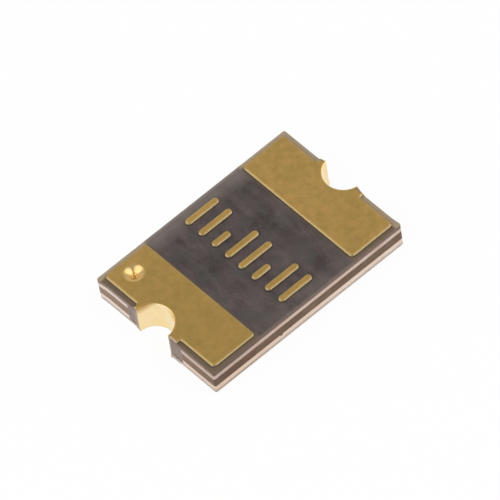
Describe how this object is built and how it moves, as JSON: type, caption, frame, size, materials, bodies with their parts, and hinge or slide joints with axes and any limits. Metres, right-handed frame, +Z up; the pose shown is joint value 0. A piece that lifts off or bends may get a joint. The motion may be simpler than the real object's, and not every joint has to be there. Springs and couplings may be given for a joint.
{
  "type": "surface-mount resettable fuse",
  "caption": "Flat rectangular surface-mount polymer fuse: laminated body, gold-plated pads on both faces, a plated half hole in each end.",
  "frame": {"origin": "on the surface that the lower pads stand on, under the middle of the body", "axes": "+X along the body from the end with the upper blind via to the other end, +Y across it, +Z up through the marked face"},
  "size_m": [0.0046, 0.0032, 0.0007],
  "materials": {
    "gold_plating": "matt gold plating over nickel and copper",
    "electrode_foil": "sawn edge of nickel-plated copper foil",
    "conductive_polymer": "sawn carbon-filled polymer",
    "insulating_laminate": "satin dark laminate",
    "hole_fill_resin": "smooth grey-brown epoxy"
  },
  "bodies": {
    "root": {"ptc_core": "conductive_polymer", "upper_electrode_foil": "electrode_foil", "lower_electrode_foil": "electrode_foil", "upper_insulation": "insulating_laminate", "lower_insulation": "insulating_laminate", "near_resin_plug": "hole_fill_resin", "far_resin_plug": "hole_fill_resin", "near_top_pad": "gold_plating", "far_top_pad": "gold_plating", "near_bottom_pad": "gold_plating", "far_bottom_pad": "gold_plating", "near_half_hole_plating": "gold_plating", "far_half_hole_plating": "gold_plating", "upper_blind_via": "gold_plating", "lower_blind_via": "gold_plating", "mark_bar_1": "gold_plating", "mark_bar_2": "gold_plating", "mark_bar_3": "gold_plating", "mark_bar_4": "gold_plating", "mark_bar_5": "gold_plating", "mark_bar_6": "gold_plating", "mark_bar_7": "gold_plating", "mark_bar_8": "gold_plating"}
  },
  "joints": []
}
